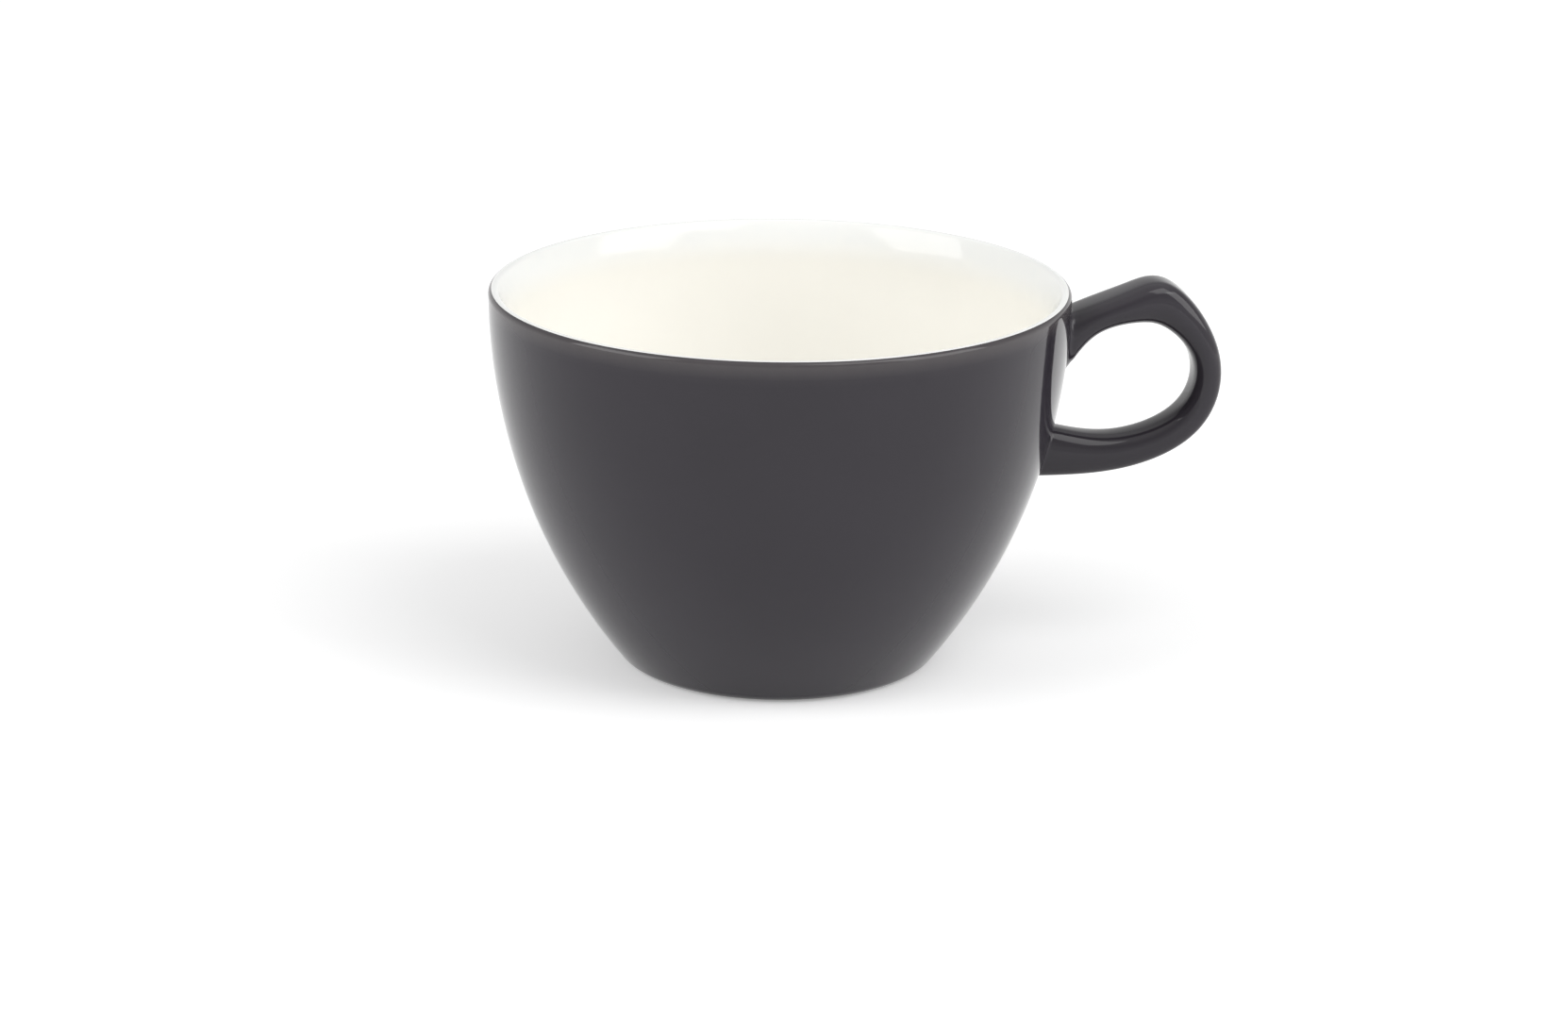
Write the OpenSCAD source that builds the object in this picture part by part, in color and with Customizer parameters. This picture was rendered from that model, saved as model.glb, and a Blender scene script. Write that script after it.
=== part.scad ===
// Cappuccino cup: a thrown porcelain bowl and a cast loop handle, luted together with slip
// and coated in two glazes. The origin is on the cup's axis, on the plane that it stands on.
// +Z is up and +X is the side that the handle is on.

/* [Bowl] */
// Outside diameter at the rim, over the glaze
rim_d = 102; // [94:1:112]
// Height from the table to the top of the lip
cup_h = 67.6; // [62:0.2:74]
// Radius of the arc down the outside of the wall
wall_arc_r = 106; // [98:1:116]
// Radius of the heel, where the wall turns under to the foot
heel_r = 4; // [2:0.5:6]
// Thickness of the wall just below the lip's flare, over the glaze
wall_t = 3.6; // [3:0.1:4.4]
// Radius of the arc down the inside of the wall
inside_arc_r = 74; // [70:1:82]
// Radius between the inside of the wall and the floor
floor_r = 16; // [10:1:20]
// Thickness of the floor over the foot's recess
floor_t = 4.5; // [3.5:0.1:6]
// Radius of the flare from the inside of the wall out to the lip
flare_r = 12; // [8:1:16]
// Radius round the edge of the lip
lip_edge_r = 1; // [0.7:0.1:1.4]

/* [Foot] */
// Width of the flat ring that the cup stands on
foot_ring_w = 4; // [3:0.5:6]
// Depth of the recess inside that ring
recess_h = 2; // [1:0.1:3]
// Angle down round the heel at which the outside glaze is wiped off
heel_line = 78; // [70:1:84]

/* [Glaze] */
// Thickness of every coat of glaze
glaze_t = 0.3; // [0.2:0.05:0.4]
// Angle up the lip's outer edge at which the lining meets the outside glaze
lip_line = 65; // [20:5:75]

/* [Handle] */
// Distance out from the rim that the loop's control points are shares of
handle_reach = 29; // [25:1:33]
// Distance down from the rim that they are shares of
handle_drop = 36; // [32:1:40]
// Width of the handle at its upper root, across the loop, over the glaze
handle_w = 11.6; // [9:0.2:13]
// Its width at the lower root
handle_low_w = 8.6; // [7:0.2:13]
// Flatness of the loop's outer face: 2 is an ellipse
outer_power = 4.6; // [2:0.1:6]
// Flatness of its inner face
inner_power = 3.4; // [2:0.1:6]
// Thickness of the slip joint at each root, which is also the radius of its fillet
joint_t = 1.5; // [1.1:0.1:2]

/* [Hidden] */
$fn = 256;

clay_color = "#e9e3d6";
slip_color = "#ddd5c6";
white_color = "#f7f4ea";
charcoal_color = "#4a474c";

// Places on the bowl's profile
rim_r = rim_d / 2;
inside_r = rim_r - wall_t;
lip_x = rim_r - lip_edge_r;
wall_top_z = cup_h - lip_edge_r;
flare_x = inside_r + flare_r;
flare_reach = flare_r - lip_edge_r;
flare_drop = sqrt(pow(flare_reach, 2) - pow(flare_x - lip_x, 2));
inside_top_z = wall_top_z - flare_drop;
// The angle at which the flare runs into the lip's edge
lip_turn = 180 - asin(flare_drop / flare_reach);
floor_z = recess_h + floor_t;
wall_arc_x = rim_r - wall_arc_r;
foot_r = wall_arc_x + sqrt(pow(wall_arc_r - heel_r, 2) - pow(wall_top_z - heel_r, 2));
recess_r = foot_r - foot_ring_w;

// The loop's two edges over the glaze, seen from the side. A root share is the share of the drop at which
// an edge meets the wall, the upper one first. A control point is [share of the reach, share of the drop].
outer_root_shares = [0.135, 0.98];
inner_root_shares = [0.4, 0.735];
outer_shares = [[0.14, 0.105], [0.39, 0.03], [0.64, -0.055], [1.025, 0.37], [0.89, 0.795], [0.365, 0.975]];
inner_shares = [[0.16, 0.23], [0.45, 0.195], [0.595, 0.215], [0.82, 0.385], [0.765, 0.67], [0.305, 0.805]];

// The degree of the curves through them
curve_degree = 3;

// How finely the corners and the loop are drawn
corner_steps = 10;
section_sides = 28;
rings_per_span = 6;
fillet_steps = 5;
// The fillet stops short of lying flat on the wall, so that its toe is not a feather edge
fillet_end = 75;
// How far a root is drawn past the wall's surface before it is cut to fit
root_sink = 0.6;

// A pie slice, up to a quarter turn
module pie(r, from, to) {
    intersection() {
        circle(r = r);
        polygon([[0, 0], 2 * r * [cos(from), sin(from)], 2 * r * [cos(to), sin(to)]]);
    }
}

module pie_ring(r, thickness, from, to) {
    difference() {
        pie(r, from, to);
        circle(r = r - thickness);
    }
}

// Half of a bowl's outline: a wall arc that is upright at its top, a round corner and a flat bottom
module bowl_shape(top_r, top_z, arc_r, corner_r, bottom_z) {
    arc_x = top_r - arc_r;
    corner_z = bottom_z + corner_r;
    turn = asin((top_z - corner_z) / (arc_r - corner_r));
    corner_x = arc_x + (arc_r - corner_r) * cos(turn);
    corner = [
        for (k = [0 : corner_steps])
            let (a = -90 + (90 - turn) * k / corner_steps)
            [corner_x + corner_r * cos(a), corner_z + corner_r * sin(a)]
    ];
    past = corner[corner_steps] + wall_t * [cos(turn), -sin(turn)];
    right = top_r + wall_t;
    intersection() {
        translate([arc_x, top_z]) circle(r = arc_r);
        polygon([[0, top_z], [0, bottom_z], each corner, past, [right, past[1]], [right, top_z]]);
    }
}

// The outside of the cup, and the same shape set in by a coat
module outer_shape(inset) {
    bowl_shape(rim_r - inset, wall_top_z, wall_arc_r - inset, heel_r - inset, inset);
}

// The space inside the cup, and the same shape let out by a coat
module inner_shape(outset) {
    bowl_shape(inside_r + outset, inside_top_z, inside_arc_r + outset, floor_r + outset, floor_z - outset);
}

// The part of the foot that is wiped clean, seen from the heel's middle
module bare_foot() {
    far = 2 * heel_r;
    middle = [foot_r, heel_r];
    polygon([[0, heel_r], middle, middle + far * [cos(heel_line), -sin(heel_line)], [0, heel_r - far]]);
}

module bowl_section() {
    difference() {
        union() {
            outer_shape(glaze_t);
            intersection() {
                outer_shape(0);
                bare_foot();
            }
        }
        inner_shape(glaze_t);
        translate([0, inside_top_z]) square([lip_x, flare_drop]);
        square([recess_r, recess_h]);
    }
    intersection() {
        square([lip_x, cup_h]);
        translate([flare_x, inside_top_z]) pie(flare_r - glaze_t, lip_turn, 180);
    }
    translate([lip_x, wall_top_z]) {
        pie(lip_edge_r - glaze_t, 0, 90);
        pie(lip_edge_r - glaze_t, 90, lip_turn);
    }
}

module lining_section() {
    difference() {
        inner_shape(glaze_t);
        inner_shape(0);
    }
    translate([flare_x, inside_top_z]) pie_ring(flare_r, glaze_t, lip_turn, 180);
    translate([lip_x, wall_top_z]) {
        pie_ring(lip_edge_r, glaze_t, 90, lip_turn);
        pie_ring(lip_edge_r, glaze_t, lip_line, 90);
    }
}

module outside_section() {
    difference() {
        outer_shape(0);
        outer_shape(glaze_t);
        bare_foot();
    }
    translate([lip_x, wall_top_z]) pie_ring(lip_edge_r, glaze_t, 0, lip_line);
}

// The x of the clay wall's surface, or of one lifted off it, at a place across and a height
function wall_x(y, z, lift) =
    let (arc = wall_arc_r - glaze_t + lift)
    let (radius = wall_arc_x + sqrt(arc * arc - pow(wall_top_z - z, 2)))
    sqrt(radius * radius - y * y);

// An edge's control points as [x, z], from the upper root to the lower one, clear of the slip joints
function edge_points(root_shares, shares) =
    let (upper_z = cup_h - handle_drop * root_shares[0], lower_z = cup_h - handle_drop * root_shares[1])
    [
        [wall_x(0, upper_z, joint_t), upper_z],
        for (share = shares) [rim_r + handle_reach * share[0], cup_h - handle_drop * share[1]],
        [wall_x(0, lower_z, joint_t), lower_z],
    ];

// One more control point past each end makes the curve reach its ends, and leave them straight
function with_ends(c) =
    let (last = len(c) - 1)
    [2 * c[0] - c[1], each c, 2 * c[last] - c[last - 1]];

outer_edge = with_ends(edge_points(outer_root_shares, outer_shares));
inner_edge = with_ends(edge_points(inner_root_shares, inner_shares));
loop_spans = len(outer_edge) - curve_degree;

// A point on a uniform cubic B-spline
function spline(c, s) =
    let (i = min(floor(s), loop_spans - 1), u = s - i, v = 1 - u)
    (v * v * v * c[i]
     + (3 * u * u * u - 6 * u * u + 4) * c[i + 1]
     + (3 * v * v * v - 6 * v * v + 4) * c[i + 2]
     + u * u * u * c[i + 3]) / 6;

function signed_pow(value, power) = sign(value) * pow(abs(value), power);

// Half of the handle's width at a place along the loop
function half_width(s) = (handle_w + (handle_low_w - handle_w) * s / loop_spans) / 2;

// The handle's section as [along the thickness, across the width], grown by a fillet or shrunk by a coat
function section(half_t, half_w, grow) = [
    for (i = [0 : section_sides - 1])
        let (a = 360 * i / section_sides, power = cos(a) > 0 ? outer_power : inner_power)
        let (on = [half_t * cos(a), half_w * signed_pow(sin(a), 2 / power)])
        let (out = [2 * cos(a) / half_t, power * signed_pow(sin(a), 2 - 2 / power) / half_w])
        on + grow * out / norm(out)
];

// A ring of points round the loop
function loop_ring(s, grow) =
    let (outer = spline(outer_edge, s), inner = spline(inner_edge, s))
    let (middle = (outer + inner) / 2, half_t = norm(outer - inner) / 2)
    let (along = (outer - inner) / (2 * half_t))
    [
        for (p = section(half_t, half_width(s), grow))
            [middle[0] + along[0] * p[0], p[1], middle[1] + along[1] * p[0]]
    ];

function slope(from, to) = (to[1] - from[1]) / (to[0] - from[0]);

// A ring that follows the wall at the upper or the lower root, lifted off the clay
function root_ring(is_upper, lift, grow) =
    let (last = len(outer_edge) - 1)
    let (at = is_upper ? 1 : last - 1, next = is_upper ? 2 : last - 2)
    let (outer = outer_edge[at], inner = inner_edge[at])
    let (middle_z = (outer[1] + inner[1]) / 2, half_z = (outer[1] - inner[1]) / 2)
    let (outer_slope = slope(outer, outer_edge[next]), inner_slope = slope(inner, inner_edge[next]))
    [
        for (p = section(abs(half_z), half_width(is_upper ? 0 : loop_spans), grow))
            let (share = p[0] / abs(half_z))
            let (rise = (outer_slope + inner_slope + share * (outer_slope - inner_slope)) / 2)
            let (z = middle_z + share * half_z + (lift - joint_t) * rise)
            [wall_x(p[1], z, lift), p[1], z]
    ];

// The rings of a root's fillet with a coat on it, from the handle's end to inside the wall
function fillet_rings(is_upper, coat) =
    let (r = joint_t - coat, grow = coat - glaze_t)
    [
        for (k = [0 : fillet_steps])
            let (a = fillet_end * k / fillet_steps)
            root_ring(is_upper, coat + r * (1 - sin(a)), grow + r * (1 - cos(a))),
        root_ring(is_upper, -root_sink, grow + r * (1 - cos(fillet_end))),
    ];

function reversed(list) = [for (i = [len(list) - 1 : -1 : 0]) list[i]];

loop_steps = loop_spans * rings_per_span;

// The handle's rings between the slip joints, with a coat on the clay
function loop_rings(coat) = [for (k = [1 : loop_steps - 1]) loop_ring(k / rings_per_span, coat - glaze_t)];

function upper_rings(coat) = reversed(fillet_rings(true, coat));
function lower_rings(coat) = fillet_rings(false, coat);

function flat(rings) = [for (ring = rings) each ring];

function middle_of(ring) = [for (axis = [0 : 2]) [for (p = ring) p[axis]] * [for (p = ring) 1 / len(ring)]];

// Triangles between the rings of a list, whose points start at an index
function side_faces(count, start) = [
    for (r = [0 : count - 2], i = [0 : section_sides - 1])
        let (j = (i + 1) % section_sides)
        let (a = start + r * section_sides, b = a + section_sides)
        each [[a + i, a + j, b + j], [a + i, b + j, b + i]]
];

function turned(faces) = [for (f = faces) reversed(f)];

// A solid through a list of rings, with a fan of triangles over each end
module skin(rings) {
    count = len(rings);
    total = count * section_sides;
    last = total - section_sides;
    caps = [
        for (i = [0 : section_sides - 1])
            let (j = (i + 1) % section_sides)
            each [[total, j, i], [total + 1, last + i, last + j]]
    ];
    polyhedron(
        concat(flat(rings), [middle_of(rings[0]), middle_of(rings[count - 1])]),
        concat(side_faces(count, 0), caps)
    );
}

// A coat between two lists of rings, open at both ends
module coat_skin(outside, inside) {
    count = len(outside);
    total = count * section_sides;
    last = total - section_sides;
    rims = [
        for (i = [0 : section_sides - 1])
            let (j = (i + 1) % section_sides)
            each [
                [j, i, total + i], [j, total + i, total + j],
                [last + i, last + j, total + last + j], [last + i, total + last + j, total + last + i],
            ]
    ];
    polyhedron(
        concat(flat(outside), flat(inside)),
        concat(side_faces(count, 0), turned(side_faces(count, total)), rims)
    );
}

module upper_joint_form() {
    skin(upper_rings(0));
}

module lower_joint_form() {
    skin(lower_rings(0));
}

module bowl() {
    color(clay_color) rotate_extrude() bowl_section();
}

module lining_glaze() {
    color(white_color) rotate_extrude() lining_section();
}

module outside_glaze() {
    color(charcoal_color) difference() {
        rotate_extrude() outside_section();
        upper_joint_form();
        lower_joint_form();
    }
}

module base_glaze() {
    color(charcoal_color) translate([0, 0, recess_h - glaze_t]) cylinder(r = recess_r, h = glaze_t);
}

module handle() {
    upper_end = root_ring(true, joint_t, -glaze_t);
    lower_end = root_ring(false, joint_t, -glaze_t);
    color(clay_color) skin([upper_end, each loop_rings(0), lower_end]);
}

module upper_slip_joint() {
    color(slip_color) difference() {
        upper_joint_form();
        rotate_extrude() outer_shape(glaze_t);
    }
}

module lower_slip_joint() {
    color(slip_color) difference() {
        lower_joint_form();
        rotate_extrude() outer_shape(glaze_t);
    }
}

module handle_glaze() {
    color(charcoal_color) difference() {
        coat_skin(
            concat(upper_rings(glaze_t), loop_rings(glaze_t), lower_rings(glaze_t)),
            concat(upper_rings(0), loop_rings(0), lower_rings(0))
        );
        rotate_extrude() outer_shape(0);
    }
}

bowl();
lining_glaze();
outside_glaze();
base_glaze();
handle();
upper_slip_joint();
lower_slip_joint();
handle_glaze();
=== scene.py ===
"""The looks of a cappuccino cup: a porcelain bowl and a looped handle under charcoal and white glaze.

Smooth coats and clay are turned and swept on the same sizes as the solids, which carry them.
"""
import math

import bmesh
import bpy
from mathutils import Matrix, Vector


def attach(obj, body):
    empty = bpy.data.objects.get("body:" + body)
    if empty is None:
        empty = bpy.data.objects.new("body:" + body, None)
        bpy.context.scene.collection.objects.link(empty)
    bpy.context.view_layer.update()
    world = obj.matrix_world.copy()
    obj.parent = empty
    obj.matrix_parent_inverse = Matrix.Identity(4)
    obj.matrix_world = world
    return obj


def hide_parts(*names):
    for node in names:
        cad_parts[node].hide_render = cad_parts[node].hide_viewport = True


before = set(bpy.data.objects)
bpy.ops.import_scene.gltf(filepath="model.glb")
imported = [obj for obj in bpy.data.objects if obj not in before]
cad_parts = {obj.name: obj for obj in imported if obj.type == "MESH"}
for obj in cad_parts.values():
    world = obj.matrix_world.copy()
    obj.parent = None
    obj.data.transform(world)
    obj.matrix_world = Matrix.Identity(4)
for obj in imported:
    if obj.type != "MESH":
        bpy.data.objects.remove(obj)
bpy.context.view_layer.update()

MM = 0.001
METRE_MM = 1000.0
BODY = "root"

# The cup's sizes in millimetres and degrees, as its solids have them
RIM_R = 51.0
CUP_H = 67.6
WALL_ARC_R = 106.0
HEEL_R = 4.0
WALL_T = 3.6
INSIDE_ARC_R = 74.0
FLOOR_R = 16.0
FLOOR_T = 4.5
FLARE_R = 12.0
LIP_EDGE_R = 1.0
FOOT_RING_W = 4.0
RECESS_H = 2.0
HEEL_LINE = 78.0
GLAZE_T = 0.3
LIP_LINE = 65.0
HANDLE_REACH = 29.0
HANDLE_DROP = 36.0
HANDLE_W = 11.6
HANDLE_LOW_W = 8.6
OUTER_POWER = 4.6
INNER_POWER = 3.4
JOINT_T = 1.5

# The loop's two edges, as shares of the reach out from the rim and of the drop below it
OUTER_ROOTS = (0.135, 0.98)
INNER_ROOTS = (0.4, 0.735)
OUTER_POINTS = (
    (0.14, 0.105), (0.39, 0.03), (0.64, -0.055),
    (1.025, 0.37), (0.89, 0.795), (0.365, 0.975),
)
INNER_POINTS = (
    (0.16, 0.23), (0.45, 0.195), (0.595, 0.215),
    (0.82, 0.385), (0.765, 0.67), (0.305, 0.805),
)
CURVE_DEGREE = 3

# Places on the bowl's profile
LIP_X = RIM_R - LIP_EDGE_R
WALL_TOP_Z = CUP_H - LIP_EDGE_R
INSIDE_R = RIM_R - WALL_T
FLARE_X = INSIDE_R + FLARE_R
FLARE_REACH = FLARE_R - LIP_EDGE_R
FLARE_DROP = math.sqrt(FLARE_REACH ** 2 - (FLARE_X - LIP_X) ** 2)
INSIDE_TOP_Z = WALL_TOP_Z - FLARE_DROP
LIP_TURN = 180 - math.degrees(math.asin(FLARE_DROP / FLARE_REACH))
FLOOR_Z = RECESS_H + FLOOR_T
WALL_ARC_X = RIM_R - WALL_ARC_R
INSIDE_ARC_X = INSIDE_R - INSIDE_ARC_R
HEEL_REACH = WALL_ARC_R - HEEL_R
HEEL_TURN = math.degrees(math.asin((WALL_TOP_Z - HEEL_R) / HEEL_REACH))
HEEL_X = WALL_ARC_X + HEEL_REACH * math.cos(math.radians(HEEL_TURN))
CORNER_Z = FLOOR_Z + FLOOR_R
CORNER_REACH = INSIDE_ARC_R - FLOOR_R
CORNER_TURN = math.degrees(math.asin((INSIDE_TOP_Z - CORNER_Z) / CORNER_REACH))
CORNER_X = INSIDE_ARC_X + CORNER_REACH * math.cos(math.radians(CORNER_TURN))
RECESS_R = HEEL_X - FOOT_RING_W

# How finely the pieces are drawn
TURNS = 256
WALL_STEPS = 64
CORNER_STEPS = 24
LIP_STEPS = 10
FLOOR_STEPS = 10
SECTION_SIDES = 72
RINGS_PER_SPAN = 14
FILLET_STEPS = 12
SHARP_ANGLE = math.radians(50)
WELD_DISTANCE = MM / 1000

# The glaze's edges are dipped by hand, so they wander a little round the cup, by so many degrees.
# Each wave of the wander has a height, a count round the cup and a start.
LIP_WANDER = 3.0
HEEL_WANDER = 1.5
HEEL_WANDER_TURN = 1.0
WANDER_WAVES = ((0.5, 3, 0.4), (0.3, 7, 2.1), (0.2, 13, 4.0))
FOOT_EDGE_R = 0.35
MENISCUS_R = 0.5

# Where the coats thin, where painted shade darkens the lining over the lip, and where the handle's skins
# end on the wall
LIP_BAND = (0.6, 3.8)
# Painted shade on the lining: full down to the first depth below the top, gone by the second
LINING_SHADE_BAND = (2.0, 8.5)
LIP_POOL = 0.6
LIP_POOL_SHARE = 0.6
RIDGE_POWER = 3
RIDGE_THINNING = 0.12
FACE_FILLET_END = 90
BACK_FILLET_END = 75


def arc(centre, radius, start, end, steps):
    """Points on an arc of the profile, whose angles are in degrees up from level."""
    turns = [math.radians(start + (end - start) * k / steps) for k in range(steps + 1)]
    return [(centre[0] + radius * math.cos(a), centre[1] + radius * math.sin(a)) for a in turns]


def wander(angle):
    """A slow uneven wave round the cup, between about -1 and 1."""
    return sum(height * math.sin(count * angle + start) for height, count, start in WANDER_WAVES)


def lip_angle_at(angle):
    """Where white and charcoal meet on the lip's edge, at a place round the cup."""
    return LIP_LINE + LIP_WANDER * wander(angle)


def heel_angle_at(angle):
    """Where the outside coat ends on the heel, at a place round the cup."""
    return HEEL_LINE + HEEL_WANDER * wander(angle + HEEL_WANDER_TURN)


def outside_line(inset, lip_angle, heel_angle):
    """The outside of the cup, set in by a coat, from an angle on the lip down to one on the heel."""
    lip = arc((LIP_X, WALL_TOP_Z), LIP_EDGE_R - inset, lip_angle, 0, LIP_STEPS)
    wall = arc((WALL_ARC_X, WALL_TOP_Z), WALL_ARC_R - inset, 0, -HEEL_TURN, WALL_STEPS)
    heel = arc((HEEL_X, HEEL_R), HEEL_R - inset, -HEEL_TURN, -heel_angle, CORNER_STEPS)
    return lip + wall[1:] + heel[1:]


def inside_line(outset, lip_angle):
    """The inside, let out by a coat, from the middle of the floor up the wall and over the lip."""
    floor = [(CORNER_X * k / FLOOR_STEPS, FLOOR_Z - outset) for k in range(FLOOR_STEPS)]
    corner = arc((CORNER_X, CORNER_Z), FLOOR_R + outset, -90, -CORNER_TURN, CORNER_STEPS)
    wall = arc((INSIDE_ARC_X, INSIDE_TOP_Z), INSIDE_ARC_R + outset, -CORNER_TURN, 0, WALL_STEPS)
    flare = arc((FLARE_X, INSIDE_TOP_Z), FLARE_R - outset, 180, LIP_TURN, LIP_STEPS)
    edge = arc((LIP_X, WALL_TOP_Z), LIP_EDGE_R - outset, LIP_TURN, lip_angle, 2 * LIP_STEPS)
    return floor + corner + wall[1:] + flare[1:] + edge[1:]


def outside_coat_line(angle):
    """The outside coat: its face down the wall, and its back up again."""
    lip_angle, heel_angle = lip_angle_at(angle), heel_angle_at(angle)
    return outside_line(0, lip_angle, heel_angle) + outside_line(GLAZE_T, lip_angle, heel_angle)[::-1]


def lining_line(angle):
    """The lining: its face from the floor up over the lip, and its back down again."""
    lip_angle = lip_angle_at(angle)
    return inside_line(0, lip_angle) + inside_line(GLAZE_T, lip_angle)[::-1]


def clay_line(angle):
    """The clay: floor, wall and lip under the lining, wall under the outside coat, and bare foot."""
    heel_angle = heel_angle_at(angle)
    inside = inside_line(GLAZE_T, 0)
    wall = outside_line(GLAZE_T, 0, heel_angle)[LIP_STEPS + 1:]
    band = arc((HEEL_X, HEEL_R), HEEL_R, -heel_angle, -90, CORNER_STEPS)
    foot = arc((RECESS_R + FOOT_EDGE_R, FOOT_EDGE_R), FOOT_EDGE_R, -90, -180, LIP_STEPS)
    recess = [(RECESS_R, RECESS_H), (0, RECESS_H)]
    return inside + wall + band + foot + recess


def base_coat_line(_angle):
    """The coat in the foot's recess, which creeps a little way down the recess's wall."""
    bottom_z = RECESS_H - GLAZE_T
    flat = [(RECESS_R * k / FLOOR_STEPS, bottom_z) for k in range(FLOOR_STEPS)]
    creep = arc((RECESS_R - MENISCUS_R, bottom_z - MENISCUS_R), MENISCUS_R, 90, 0, LIP_STEPS)
    return flat + creep + [(RECESS_R, RECESS_H), (0, RECESS_H)]


def make_piece(name, points, faces, thin_and_shade):
    """A smooth mesh piece of the cup, with its shares of thin coat and of painted shade kept as an
    attribute.
    """
    mesh = bpy.data.meshes.new(name)
    mesh.from_pydata([Vector(p) * MM for p in points], [], faces)
    mesh.attributes.new("thin_and_shade", "FLOAT", "POINT").data.foreach_set("value", thin_and_shade)
    shape = bmesh.new()
    shape.from_mesh(mesh)
    bmesh.ops.remove_doubles(shape, verts=shape.verts, dist=WELD_DISTANCE)
    bmesh.ops.recalc_face_normals(shape, faces=shape.faces)
    shape.to_mesh(mesh)
    shape.free()
    mesh.shade_smooth()
    mesh.set_sharp_from_angle(angle=SHARP_ANGLE)
    piece = bpy.data.objects.new(name, mesh)
    bpy.context.scene.collection.objects.link(piece)
    return piece


def turned_piece(name, line_at, thin_and_shade_at):
    """A piece turned about the cup's axis. Its outline may change round the cup."""
    points, faces, thin_and_shade = [], [], []
    outline = line_at(0.0)
    count = len(outline)
    starts_on_axis = outline[0][0] == 0
    strips = count - 1 if starts_on_axis else count
    for k in range(TURNS):
        angle = math.tau * k / TURNS
        for r, z in line_at(angle):
            points.append((r * math.cos(angle), r * math.sin(angle), z))
            thin_and_shade.append(thin_and_shade_at(z))
        start, after = k * count, (k + 1) % TURNS * count
        for i in range(strips):
            j = (i + 1) % count
            faces.append((start + i, after + i, after + j, start + j))
    return make_piece(name, points, faces, thin_and_shade)


def smooth_step(low, high, value):
    """0 below a low value and 1 above a high one, with a smooth rise between them."""
    share = min(max((value - low) / (high - low), 0.0), 1.0)
    return share * share * (3 - 2 * share)


def no_thinning(_z):
    return 0.0


def lip_thinning(z):
    """The outside coat thins in a band below the lip, and pools again at its very edge."""
    depth = CUP_H - z
    pool = smooth_step(0.0, LIP_POOL, depth)
    return (1 - smooth_step(*LIP_BAND, depth)) * (LIP_POOL_SHARE + (1 - LIP_POOL_SHARE) * pool)


def lining_lip_shade(z):
    """Painted shade: the lining is drawn a little darker and cooler over the lip, which faces up and takes
    more light.
    """
    return 1 - smooth_step(*LINING_SHADE_BAND, CUP_H - z)


def wall_x(y, z, lift):
    """How far out the clay wall, or a surface lifted off it, is at a place across and a height."""
    reach = WALL_ARC_R - GLAZE_T + lift
    radius = WALL_ARC_X + math.sqrt(reach * reach - (WALL_TOP_Z - z) ** 2)
    return math.sqrt(radius * radius - y * y)


def loop_edge(roots, shares):
    """The control points of an edge of the loop, with one more past each end."""
    ends = [CUP_H - HANDLE_DROP * share for share in roots]
    points = [Vector((RIM_R + HANDLE_REACH * out, CUP_H - HANDLE_DROP * down)) for out, down in shares]
    points.insert(0, Vector((wall_x(0, ends[0], JOINT_T), ends[0])))
    points.append(Vector((wall_x(0, ends[1], JOINT_T), ends[1])))
    return [2 * points[0] - points[1], *points, 2 * points[-1] - points[-2]]


OUTER_EDGE = loop_edge(OUTER_ROOTS, OUTER_POINTS)
INNER_EDGE = loop_edge(INNER_ROOTS, INNER_POINTS)
LOOP_SPANS = len(OUTER_EDGE) - CURVE_DEGREE


def spline(points, s):
    """A point on a uniform cubic B-spline."""
    i = min(int(s), LOOP_SPANS - 1)
    u = s - i
    v = 1 - u
    first, second, third, fourth = points[i:i + CURVE_DEGREE + 1]
    return (v ** 3 * first + (3 * u ** 3 - 6 * u ** 2 + 4) * second
            + (3 * v ** 3 - 6 * v ** 2 + 4) * third + u ** 3 * fourth) / 6


def signed_pow(value, power):
    return math.copysign(abs(value) ** power, value)


def half_width(s):
    """Half of the handle's width at a place along the loop."""
    return (HANDLE_W + (HANDLE_LOW_W - HANDLE_W) * s / LOOP_SPANS) / 2


def handle_section(half_t, half_w, grow):
    """The handle's section as (along its thickness, across its width), grown by a fillet or a coat."""
    points = []
    for i in range(SECTION_SIDES):
        c, s = math.cos(math.tau * i / SECTION_SIDES), math.sin(math.tau * i / SECTION_SIDES)
        power = OUTER_POWER if c > 0 else INNER_POWER
        on = Vector((half_t * c, half_w * signed_pow(s, 2 / power)))
        out = Vector((2 * c / half_t, power * signed_pow(s, 2 - 2 / power) / half_w))
        points.append(on + grow * out.normalized())
    return points


def loop_ring(s, grow):
    """The handle's section at a place along the loop."""
    outer, inner = spline(OUTER_EDGE, s), spline(INNER_EDGE, s)
    middle, along = (outer + inner) / 2, (outer - inner).normalized()
    section = handle_section((outer - inner).length / 2, half_width(s), grow)
    return [(middle.x + along.x * p.x, p.y, middle.y + along.y * p.x) for p in section]


def root_ring(is_upper, lift, grow):
    """A ring that follows the wall at the upper or the lower root, lifted off the clay."""
    at, after = (1, 2) if is_upper else (-2, -3)
    outer, inner = OUTER_EDGE[at], INNER_EDGE[at]
    outer_run, inner_run = OUTER_EDGE[after] - outer, INNER_EDGE[after] - inner
    outer_slope, inner_slope = outer_run.y / outer_run.x, inner_run.y / inner_run.x
    middle_z, half_z = (outer.y + inner.y) / 2, (outer.y - inner.y) / 2
    ring = []
    for p in handle_section(abs(half_z), half_width(0 if is_upper else LOOP_SPANS), grow):
        share = p.x / abs(half_z)
        rise = (outer_slope + inner_slope + share * (outer_slope - inner_slope)) / 2
        z = middle_z + share * half_z + (lift - JOINT_T) * rise
        ring.append((wall_x(p.y, z, lift), p.y, z))
    return ring


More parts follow.
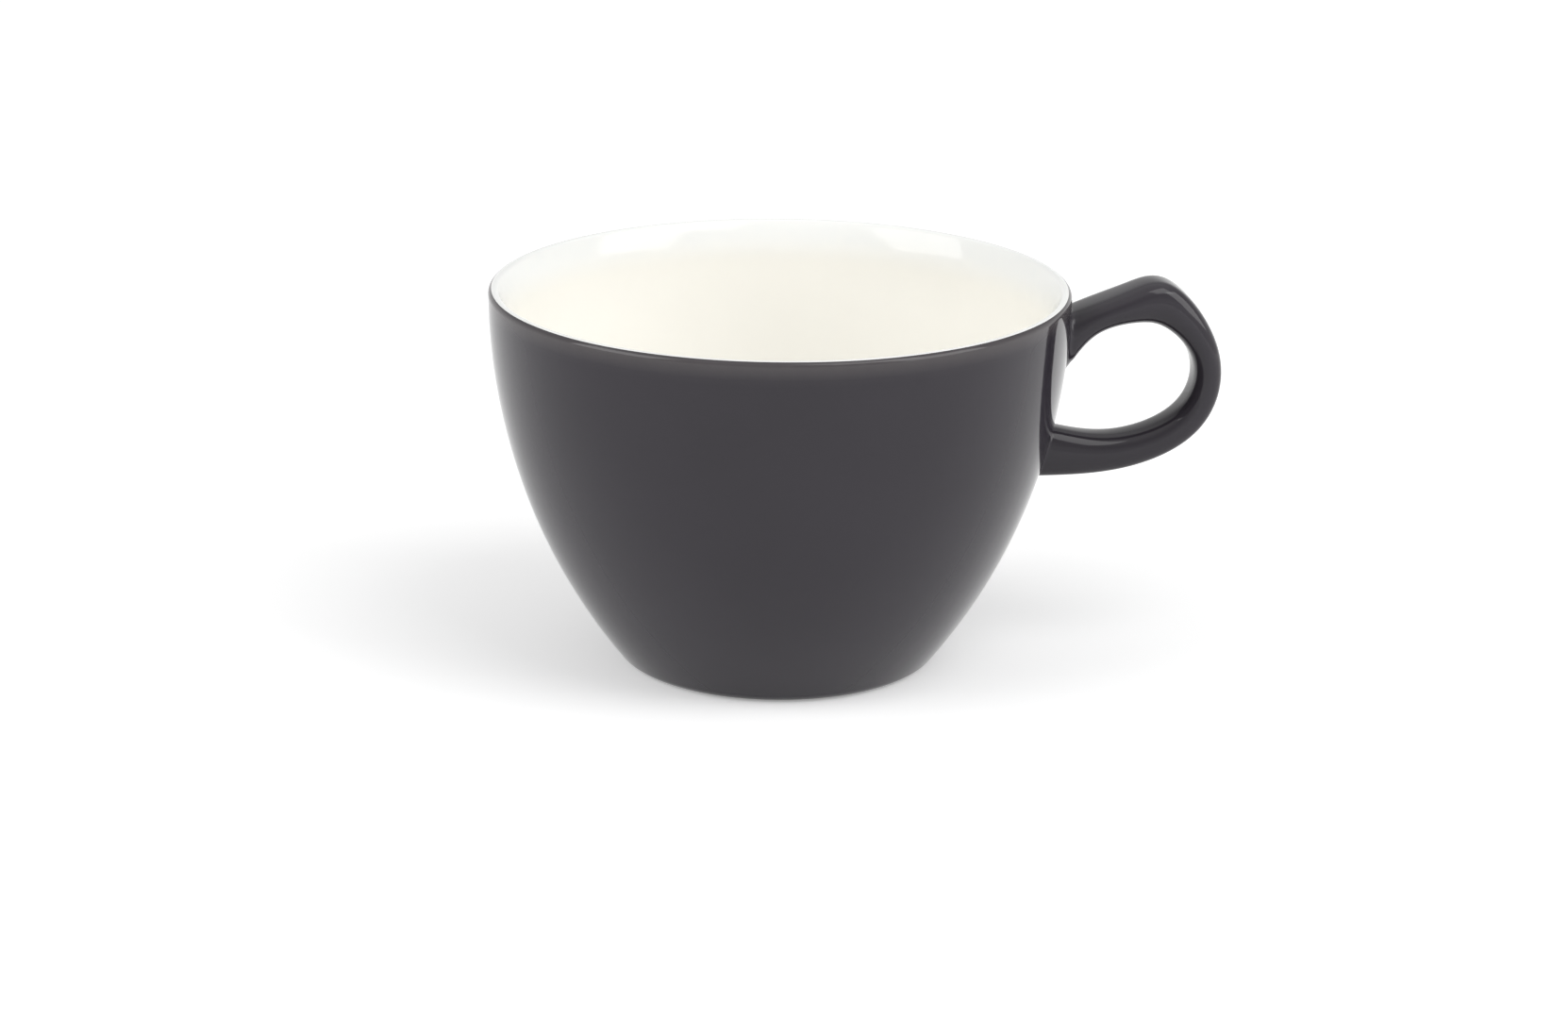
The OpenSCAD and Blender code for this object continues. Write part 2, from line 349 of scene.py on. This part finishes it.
def fillet_rings(is_upper, coat, fillet_end):
    """The rings of a root's fillet with a coat on it, from the handle's end to the wall."""
    r = JOINT_T - coat
    rings = []
    for k in range(FILLET_STEPS + 1):
        a = math.radians(fillet_end * k / FILLET_STEPS)
        lift = coat + r * (1 - math.sin(a))
        grow = coat - GLAZE_T + r * (1 - math.cos(a))
        rings.append(root_ring(is_upper, lift, grow))
    return rings


def loop_rings(coat, fillet_end):
    """All the rings of the handle with a coat on it, from the upper root to the lower one."""
    steps = LOOP_SPANS * RINGS_PER_SPAN
    upper = fillet_rings(True, coat, fillet_end)
    middle = [loop_ring(k / RINGS_PER_SPAN, coat - GLAZE_T) for k in range(1, steps)]
    return upper[::-1] + middle + fillet_rings(False, coat, fillet_end)


def handle_coat():
    """The handle's glaze, thin on its ridges: a face that runs out on the wall, and a back on the clay."""
    rings = loop_rings(GLAZE_T, FACE_FILLET_END) + loop_rings(0, BACK_FILLET_END)[::-1]
    points = [p for ring in rings for p in ring]
    ridge = [abs(math.sin(2 * math.tau * i / SECTION_SIDES)) ** RIDGE_POWER for i in range(SECTION_SIDES)]
    thin_and_shade = [RIDGE_THINNING * share for _ in rings for share in ridge]
    faces = []
    for k in range(len(rings)):
        start, after = k * SECTION_SIDES, (k + 1) % len(rings) * SECTION_SIDES
        for i in range(SECTION_SIDES):
            j = (i + 1) % SECTION_SIDES
            faces.append((start + i, start + j, after + j, after + i))
    return make_piece("handle_coat", points, faces, thin_and_shade)


# Kinds of socket, and the places of a colour Mix node's two colours and its result
NUMBER = "NodeSocketFloat"
COLOUR = "NodeSocketColor"
MIX_FIRST, MIX_SECOND, MIX_RESULT = 6, 7, 2

# The values that nearly all of a noise and of a clay's skin lie between, and plain finishes
NOISE_RANGE = (0.3, 0.7)
CLAY_SKIN_RANGE = (0.4, 1.4)
CLAY_ROUGHNESS = (0.55, 0.8)
GLAZE_IOR = 1.38
WHITE = (1, 1, 1, 1)


def add_node(tree, kind, **settings):
    node = tree.nodes.new(kind)
    for name, value in settings.items():
        setattr(node, name, value)
    return node


def put(tree, socket, value):
    """Sets a socket to a plain value, or links another socket to it."""
    if isinstance(value, bpy.types.NodeSocket):
        tree.links.new(value, socket)
    else:
        socket.default_value = value


def math_node(tree, operation, first, second):
    """A Math node. Each of its two values is a number or another node's socket."""
    node = add_node(tree, "ShaderNodeMath", operation=operation)
    for socket, value in zip(node.inputs, (first, second)):
        put(tree, socket, value)
    return node.outputs[0]


def map_range(tree, value, from_low, from_high, to_low, to_high, smooth=False):
    """A Map Range node, straight or smooth."""
    node = add_node(tree, "ShaderNodeMapRange", interpolation_type="SMOOTHSTEP" if smooth else "LINEAR")
    for socket, item in zip(node.inputs, (value, from_low, from_high, to_low, to_high)):
        put(tree, socket, item)
    return node.outputs[0]


def mix_colours(tree, share, first, second):
    """The first colour at a share of 0, and the second at 1."""
    node = add_node(tree, "ShaderNodeMix", data_type="RGBA")
    put(tree, node.inputs["Factor"], share)
    put(tree, node.inputs[MIX_FIRST], first)
    put(tree, node.inputs[MIX_SECOND], second)
    return node.outputs[MIX_RESULT]


def place_in_frame(tree):
    """Where a point is in the cup's frame, in metres."""
    return add_node(tree, "ShaderNodeTexCoord").outputs["Object"]


def noise(tree, size_mm, detail):
    """Noise whose blobs are about a size across."""
    node = add_node(tree, "ShaderNodeTexNoise")
    put(tree, node.inputs["Vector"], place_in_frame(tree))
    put(tree, node.inputs["Scale"], math_node(tree, "DIVIDE", METRE_MM, size_mm))
    put(tree, node.inputs["Detail"], detail)
    return node.outputs[0]


def new_group(name, inputs, outputs):
    """An empty shader group, whose sockets are given as a label and a kind each, and its two ends."""
    group = bpy.data.node_groups.new(name, "ShaderNodeTree")
    for in_out, sockets in (("INPUT", inputs), ("OUTPUT", outputs)):
        for label, kind in sockets.items():
            group.interface.new_socket(label, in_out=in_out, socket_type=kind)
    return group, group.nodes.new("NodeGroupInput").outputs, group.nodes.new("NodeGroupOutput").inputs


def use_group(tree, group, **values):
    """Places a group in a material with its own values, and gives its outputs."""
    node = add_node(tree, "ShaderNodeGroup", node_tree=group)
    for label, value in values.items():
        put(tree, node.inputs[label.replace("_", " ")], value)
    return node.outputs


def mottle_group():
    """A colour that drifts a little lighter and darker, as the kiln leaves it."""
    inputs = {"Color": COLOUR, "Size": NUMBER, "Drift": NUMBER}
    group, given, result = new_group("kiln mottle", inputs, {"Color": COLOUR})
    low = math_node(group, "SUBTRACT", 1.0, given["Drift"])
    high = math_node(group, "ADD", 1.0, given["Drift"])
    share = map_range(group, noise(group, given["Size"], detail=3.0), *NOISE_RANGE, low, high)
    scaled = add_node(group, "ShaderNodeVectorMath", operation="SCALE")
    put(group, scaled.inputs[0], given["Color"])
    put(group, scaled.inputs["Scale"], share)
    put(group, result["Color"], scaled.outputs[0])
    return group


def skin_group():
    """The height of a fired skin: a slow wave with a finer peel on it."""
    inputs = {"Wave": NUMBER, "Peel": NUMBER, "Peel share": NUMBER}
    group, given, result = new_group("fired skin", inputs, {"Height": NUMBER})
    wave = noise(group, given["Wave"], detail=1.0)
    peel = math_node(group, "MULTIPLY", noise(group, given["Peel"], detail=2.0), given["Peel share"])
    put(group, result["Height"], math_node(group, "ADD", wave, peel))
    return group


def pits_group():
    """A mask of small round pits in some cells of a loose grid. Their radius is a share of the spacing."""
    inputs = {"Spacing": NUMBER, "Radius": NUMBER, "Share": NUMBER}
    group, given, result = new_group("pits", inputs, {"Mask": NUMBER})
    cells = add_node(group, "ShaderNodeTexVoronoi")
    put(group, cells.inputs["Vector"], place_in_frame(group))
    put(group, cells.inputs["Scale"], math_node(group, "DIVIDE", METRE_MM, given["Spacing"]))
    inside = map_range(group, cells.outputs["Distance"], given["Radius"], 0.0, 0.0, 1.0, smooth=True)
    chance = add_node(group, "ShaderNodeSeparateColor")
    put(group, chance.inputs[0], cells.outputs["Color"])
    chosen = math_node(group, "LESS_THAN", chance.outputs[0], given["Share"])
    put(group, result["Mask"], math_node(group, "MULTIPLY", inside, chosen))
    return group


def thin_coat_and_shade_group():
    """A coat's colour, changed where it is thin over an edge and the clay shows through, and where painted
    shade darkens the lining over the lip.
    """
    inputs = {"Color": COLOUR, "Thin color": COLOUR, "Break up": NUMBER}
    group, given, result = new_group("thin coat and shade", inputs, {"Color": COLOUR})
    # The attribute holds the thin coat's share and, on the lining, the painted shade's share
    thin_and_shade = add_node(group, "ShaderNodeAttribute", attribute_name="thin_and_shade").outputs["Fac"]
    least = math_node(group, "SUBTRACT", 1.0, given["Break up"])
    broken = map_range(group, noise(group, size_mm=3.0, detail=3.0), *NOISE_RANGE, least, 1.0)
    mask = math_node(group, "MULTIPLY", thin_and_shade, broken)
    put(group, result["Color"], mix_colours(group, mask, given["Color"], given["Thin color"]))
    return group


MOTTLE = mottle_group()
SKIN = skin_group()
PITS = pits_group()
THIN_COAT_AND_SHADE = thin_coat_and_shade_group()


def new_material(name):
    """A new material, with its node tree and its shader's sockets."""
    material = bpy.data.materials.new(name)
    material.use_nodes = True
    return material, material.node_tree, material.node_tree.nodes["Principled BSDF"].inputs


def finish_skin(tree, shader, height, depth_mm, strength):
    """Turns a height, 0 to 1, into the surface's normal."""
    bump = add_node(tree, "ShaderNodeBump")
    bump.inputs["Strength"].default_value = strength
    bump.inputs["Distance"].default_value = depth_mm * MM
    put(tree, bump.inputs["Height"], height)
    put(tree, shader["Normal"], bump.outputs[0])


def glaze_material(name, colour, thin_and_shade_colour, pit_colour, drift, gloss, pit_share):
    """A glossy glaze: drifting colour, thin edges (and, on the white lining, painted shade over the lip),
    a few pinholes and a slow ripple in its reflections.
    """
    material, tree, shader = new_material(name)
    coat = use_group(tree, MOTTLE, Color=colour, Size=26.0, Drift=drift)["Color"]
    coat = use_group(tree, THIN_COAT_AND_SHADE, Color=coat, Thin_color=thin_and_shade_colour, Break_up=0.12)["Color"]
    pits = use_group(tree, PITS, Spacing=7.0, Radius=0.022, Share=pit_share)["Mask"]
    put(tree, shader["Base Color"], mix_colours(tree, pits, coat, pit_colour))
    cloud = noise(tree, size_mm=9.0, detail=3.0)
    put(tree, shader["Roughness"], map_range(tree, cloud, *NOISE_RANGE, *gloss))
    skin = use_group(tree, SKIN, Wave=16.0, Peel=2.2, Peel_share=0.12)["Height"]
    pitted_skin = math_node(tree, "SUBTRACT", skin, pits)
    finish_skin(tree, shader, pitted_skin, depth_mm=0.05, strength=0.6)
    shader["IOR"].default_value = GLAZE_IOR
    return material


def clay_material(name, colour, fleck_colour, grain_mm, fleck_share):
    """A matt fired clay: fine grain, small flecks and drifting colour."""
    material, tree, shader = new_material(name)
    body = use_group(tree, MOTTLE, Color=colour, Size=5.0, Drift=0.07)["Color"]
    flecks = use_group(tree, PITS, Spacing=1.1, Radius=0.16, Share=fleck_share)["Mask"]
    put(tree, shader["Base Color"], mix_colours(tree, flecks, body, fleck_colour))
    skin = use_group(tree, SKIN, Wave=1.4, Peel=grain_mm, Peel_share=0.8)["Height"]
    put(tree, shader["Roughness"], map_range(tree, skin, *CLAY_SKIN_RANGE, *CLAY_ROUGHNESS))
    flecked_skin = math_node(tree, "SUBTRACT", skin, flecks)
    finish_skin(tree, shader, flecked_skin, depth_mm=0.08, strength=0.8)
    return material


def build_cup():
    """The cup's clay and coats, each in its solid's place, and the clay hidden in the handle."""
    charcoal = glaze_material(
        "charcoal_glaze", colour=(0.029, 0.0255, 0.0325, 1), thin_and_shade_colour=(0.073, 0.066, 0.069, 1),
        pit_colour=(0.012, 0.011, 0.012, 1), drift=0.05, gloss=(0.05, 0.1), pit_share=0.12)
    # The white's second colour is painted shade: greyer and cooler over the lip, which faces up and takes
    # more light
    white = glaze_material(
        "white_glaze", colour=(0.945, 0.93, 0.876, 1), thin_and_shade_colour=(0.868, 0.876, 0.862, 1),
        pit_colour=(0.45, 0.41, 0.34, 1), drift=0.012, gloss=(0.06, 0.11), pit_share=0.03)
    clay = clay_material(
        "bare_porcelain", colour=(0.82, 0.78, 0.70, 1), fleck_colour=(0.5, 0.42, 0.32, 1),
        grain_mm=0.22, fleck_share=0.12)
    slip = clay_material(
        "joining_slip", colour=(0.76, 0.71, 0.62, 1), fleck_colour=(0.58, 0.5, 0.4, 1),
        grain_mm=0.5, fleck_share=0.05)

    bowl = turned_piece("porcelain_bowl", clay_line, no_thinning)
    lining = turned_piece("white_lining", lining_line, lining_lip_shade)
    outside_coat = turned_piece("charcoal_coat", outside_coat_line, lip_thinning)
    base_coat = turned_piece("base_coat", base_coat_line, no_thinning)
    pieces = [
        (bowl, "bowl", clay, "bare_porcelain"),
        (lining, "lining_glaze", white, "white_glaze"),
        (outside_coat, "outside_glaze", charcoal, "charcoal_glaze"),
        (base_coat, "base_glaze", charcoal, "charcoal_glaze"),
        (handle_coat(), "handle_glaze", charcoal, "charcoal_glaze"),
    ]
    for piece, node, material, slot in pieces:
        piece.data.materials.append(material)
        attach(piece, BODY)
        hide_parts(node)

    hidden_clay = {"handle": clay, "upper_slip_joint": slip, "lower_slip_joint": slip}
    for node, material in hidden_clay.items():
        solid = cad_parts[node]
        solid.data.materials.clear()
        solid.data.materials.append(material)


# The photograph's camera, worked out from the rim's ellipse and the foot
PHOTO_W = 1662
FOCAL_PX = 4252
SENSOR_MM = 36.0
CAMERA_MM = 714.0
CAMERA_AZIMUTH = -6.0
CAMERA_ELEVATION = 17.545
CAMERA_ROLL = 0.573
CAMERA_AIM = Vector((1.056, -0.111, 26.448))
NEAR_CLIP = 0.01


def direction(azimuth, elevation):
    """The way from the cup to something round it. Azimuth 0 is in front, and grows towards the handle."""
    a, e = math.radians(azimuth), math.radians(elevation)
    return Vector((math.sin(a) * math.cos(e), -math.cos(a) * math.cos(e), math.sin(e)))


def add_camera():
    """The camera, rolled a little, as the photograph's is."""
    data = bpy.data.cameras.new("photo_camera")
    data.sensor_width = SENSOR_MM
    data.lens = SENSOR_MM * FOCAL_PX / PHOTO_W
    data.clip_start = NEAR_CLIP
    camera = bpy.data.objects.new("photo_camera", data)
    bpy.context.scene.collection.objects.link(camera)
    back = direction(CAMERA_AZIMUTH, CAMERA_ELEVATION)
    level = Vector((0, 0, 1)).cross(back).normalized()
    upright = back.cross(level)
    roll = math.radians(CAMERA_ROLL)
    right = math.cos(roll) * level + math.sin(roll) * upright
    up = back.cross(right)
    place = (CAMERA_AIM + CAMERA_MM * back) * MM
    camera.matrix_world = Matrix.Translation(place) @ Matrix((right, up, back)).transposed().to_4x4()
    bpy.context.scene.camera = camera


# The studio, in metres: a white floor, horizon and ceiling with dimmer walls between them.
# The walls' foot and top are given as heights on a sphere round the cup.
FLOOR_RADIUS = 4.0
FLOOR_COLOUR = (0.9, 0.9, 0.9, 1)
FLOOR_GLOW = 0.28
FAR_FLOOR_GLOW = 0.54
LAMPS_REACH = (0.4, 1.3)
ROOM_LIGHT = 0.52
WALL_GLOW = 0.52
WALL_FOOT = (0.08, 0.45)
WALL_TOP = (0.55, 0.9)

# Each softbox is square: its name, azimuth and elevation in degrees, side in metres and power in watts
SOFTBOX_DISTANCE = 1.4
SOFTBOXES = (
    ("high_softbox", 38, 56, 0.8, 4.5),
    ("right_softbox", 62, 30, 0.9, 7.5),
    ("left_softbox", -74, 30, 0.9, 8.0),
)


def seen_directly(tree):
    """1 for what the camera sees itself, in a gloss or through glass."""
    path = add_node(tree, "ShaderNodeLightPath")
    seen = math_node(tree, "MAXIMUM", path.outputs["Is Camera Ray"], path.outputs["Is Glossy Ray"])
    return math_node(tree, "MAXIMUM", seen, path.outputs["Is Transmission Ray"])


def add_room():
    """A white room, whose walls are dimmer between the horizon and the ceiling."""
    world = bpy.data.worlds.new("white_room")
    world.use_nodes = True
    bpy.context.scene.world = world
    tree = world.node_tree
    way = add_node(tree, "ShaderNodeSeparateXYZ")
    put(tree, way.inputs[0], add_node(tree, "ShaderNodeTexCoord").outputs["Generated"])
    above_horizon = map_range(tree, way.outputs["Z"], *WALL_FOOT, 0.0, 1.0, smooth=True)
    below_ceiling = map_range(tree, way.outputs["Z"], *WALL_TOP, 1.0, 0.0, smooth=True)
    wall = math_node(tree, "MULTIPLY", above_horizon, below_ceiling)
    seen = map_range(tree, wall, 0.0, 1.0, 1.0, WALL_GLOW)
    strength = map_range(tree, seen_directly(tree), 0.0, 1.0, ROOM_LIGHT, seen)
    background = tree.nodes["Background"].inputs
    background["Color"].default_value = WHITE
    put(tree, background["Strength"], strength)


def add_floor():
    """A pale floor, which glows more where the lamps no longer reach, so that it stays white."""
    mesh = bpy.data.meshes.new("floor")
    shape = bmesh.new()
    bmesh.ops.create_circle(shape, cap_ends=True, segments=TURNS, radius=FLOOR_RADIUS)
    shape.to_mesh(mesh)
    shape.free()
    floor = bpy.data.objects.new("floor", mesh)
    bpy.context.scene.collection.objects.link(floor)
    material, tree, shader = new_material("pale_floor")
    shader["Base Color"].default_value = FLOOR_COLOUR
    shader["Roughness"].default_value = 1.0
    shader["Specular IOR Level"].default_value = 0.0
    shader["Emission Color"].default_value = WHITE
    away = add_node(tree, "ShaderNodeVectorMath", operation="LENGTH")
    put(tree, away.inputs[0], place_in_frame(tree))
    glow = map_range(tree, away.outputs["Value"], *LAMPS_REACH, FLOOR_GLOW, FAR_FLOOR_GLOW, smooth=True)
    put(tree, shader["Emission Strength"], math_node(tree, "MULTIPLY", seen_directly(tree), glow))
    mesh.materials.append(material)


def add_softbox(name, azimuth, elevation, side, power):
    """A square lamp that faces the cup."""
    data = bpy.data.lights.new(name, "AREA")
    data.shape = "SQUARE"
    data.size = side
    data.energy = power
    box = bpy.data.objects.new(name, data)
    bpy.context.scene.collection.objects.link(box)
    way = direction(azimuth, elevation)
    box.location = way * SOFTBOX_DISTANCE
    box.rotation_mode = "QUATERNION"
    box.rotation_quaternion = way.to_track_quat("Z", "Y")
    box.visible_camera = False


build_cup()
add_camera()
add_room()
add_floor()
for softbox in SOFTBOXES:
    add_softbox(*softbox)
bpy.context.scene.view_settings.view_transform = "Standard"
